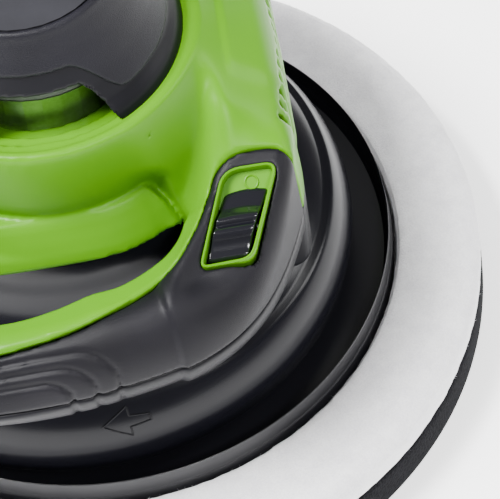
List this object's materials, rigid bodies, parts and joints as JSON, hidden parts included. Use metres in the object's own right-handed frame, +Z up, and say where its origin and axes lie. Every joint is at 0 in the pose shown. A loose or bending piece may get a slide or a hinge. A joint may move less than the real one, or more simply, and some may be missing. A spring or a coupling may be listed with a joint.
{
  "type": "orbital polisher",
  "caption": "Two-handed random-orbit polisher: green moulded shell with two loop grips, rocker switch, eccentric drive and a round two-layer foam pad.",
  "frame": {"origin": "where the motor axis meets the plane of the pad's working face", "axes": "+Z up along the motor axis, +X to the vented front, +Y to the left-hand grip; the pad's own centre is 5.5 mm along +X"},
  "size_m": [0.2585, 0.254, 0.1806],
  "materials": {
    "shell_green": "satin moulded ABS",
    "gloss_black": "glossy moulded black plastic",
    "textured_black": "spark-eroded black plastic",
    "soft_grip": "soft-touch overmould",
    "matt_black": "matt black plastic",
    "label_black": "matt printed film",
    "steel": "ground steel",
    "screw_steel": "zinc-plated steel",
    "cast_zinc": "die cast",
    "ferrite": "sintered ferrite",
    "copper": "enamelled copper",
    "brass": "stamped brass",
    "laminations": "stacked steel sheet",
    "carbon": "carbon brush",
    "circuit_board": "coated circuit board",
    "grey_plastic": "glass-filled nylon",
    "hook_fabric": "hook and loop",
    "foam_black": "open-cell foam",
    "foam_white": "napped white foam"
  },
  "bodies": {
    "housing": {"upper_shell": "shell_green", "switch_bezel": "shell_green", "lower_housing": "gloss_black", "top_cap": "textured_black", "cap_flange": "matt_black", "rating_plate": "label_black", "grip_right": "soft_grip", "grip_left": "soft_grip", "handle_lower_right": "textured_black", "handle_lower_left": "textured_black", "switch_body": "matt_black", "rocker_pin": "steel", "motor_base": "cast_zinc", "motor_can": "steel", "magnet_a": "ferrite", "magnet_b": "ferrite", "motor_bracket": "grey_plastic", "upper_bearing": "steel", "lower_bearing": "steel", "brush_holder_front": "brass", "brush_holder_rear": "brass", "brush_front": "carbon", "brush_rear": "carbon", "brush_spring_front": "steel", "brush_spring_rear": "steel", "cord_gland": "matt_black", "cord_clamp": "grey_plastic", "clamp_screw_1": "screw_steel", "clamp_screw_2": "screw_steel", "control_board": "circuit_board", "motor_screw_1": "screw_steel", "handle_screw_right_1": "screw_steel", "handle_screw_left_1": "screw_steel", "motor_screw_2": "screw_steel", "handle_screw_right_2": "screw_steel", "handle_screw_left_2": "screw_steel", "motor_screw_3": "screw_steel", "handle_screw_right_3": "screw_steel", "handle_screw_left_3": "screw_steel"},
    "rotor": {"rotor_shaft": "steel", "armature_core": "laminations", "winding_lower": "copper", "winding_upper": "copper", "commutator": "copper", "cooling_fan": "grey_plastic", "eccentric_block": "cast_zinc", "counterweight": "steel", "counterweight_screw_1": "screw_steel", "counterweight_screw_2": "screw_steel", "spindle_bearing": "steel"},
    "pad": {"pad_spindle": "steel", "backing_plate": "gloss_black", "pad_bolt": "screw_steel", "hook_disc": "hook_fabric", "foam_upper": "foam_white", "foam_lower": "foam_black"},
    "rocker_switch": {"rocker": "gloss_black"}
  },
  "joints": [
    {"name": "rotor_spin", "type": "hinge", "parent": "housing", "child": "rotor", "pos_m": [0, 0, 0.08], "axis": [0, 0, 1], "continuous": true},
    {"name": "pad_spin", "type": "hinge", "parent": "rotor", "child": "pad", "pos_m": [0.0055, 0, 0.049], "axis": [0, 0, 1], "continuous": true},
    {"name": "rocker_tilt", "type": "hinge", "parent": "housing", "child": "rocker_switch", "pos_m": [0.052, -0.06204, 0.11044], "axis": [1, 0, 0], "range_deg": [0, 12]}
  ]
}
